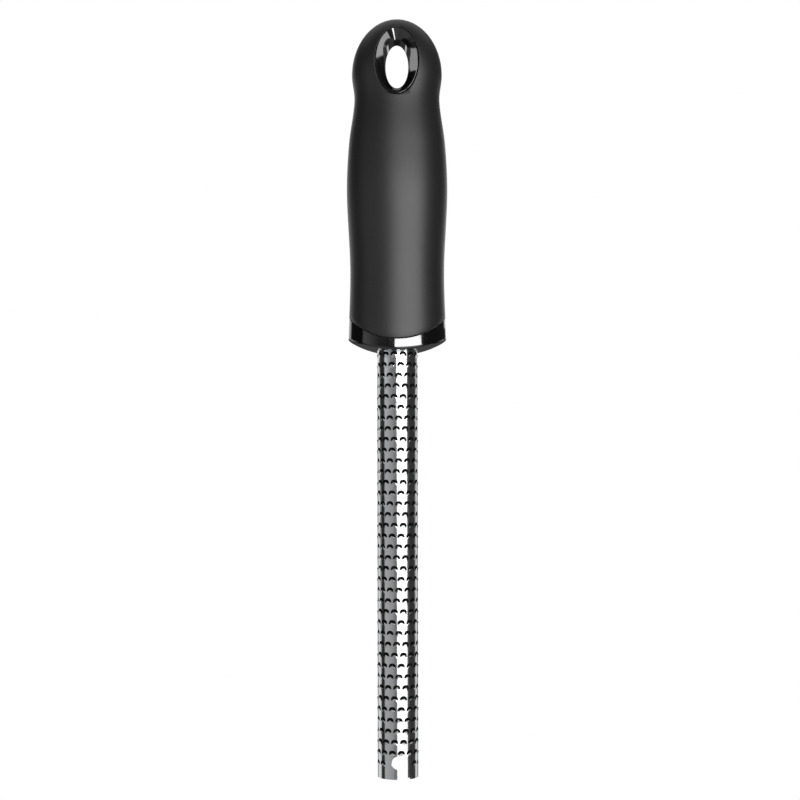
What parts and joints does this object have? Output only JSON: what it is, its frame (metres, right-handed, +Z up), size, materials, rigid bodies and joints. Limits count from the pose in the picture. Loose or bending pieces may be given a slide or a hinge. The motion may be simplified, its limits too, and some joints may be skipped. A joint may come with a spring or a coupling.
{
  "type": "spice grater",
  "caption": "Hand-held spice grater: a rolled steel tube covered in raised cutting teeth, set in a soft-gripped oval handle with a glossy end cap and a hanging eyelet.",
  "frame": {"origin": "middle of the hanging eyelet's throat in the handle's head", "axes": "+Z up the tool's axis from the tube's tip to the handle's crown, as it hangs from a hook; -Y is the front face with the tip hole, +X its right side seen from the front"},
  "size_m": [0.0354, 0.03, 0.2652],
  "materials": {
    "soft_rubber": "matt soft-touch moulding, fine even grain",
    "gloss_black": "high-gloss black moulding",
    "etched_steel": "bright stainless sheet, etched and electropolished",
    "plug_plastic": "plain matt moulding",
    "pin_steel": "ground stainless pin",
    "seal_rubber": "matt moulded ring"
  },
  "bodies": {
    "root": {"soft_grip": "soft_rubber", "handle_core_front": "gloss_black", "handle_core_rear": "gloss_black", "front_cap": "gloss_black", "grater_tube": "etched_steel", "tube_plug": "plug_plastic", "lock_pin": "pin_steel", "tube_seal": "seal_rubber"}
  },
  "joints": []
}
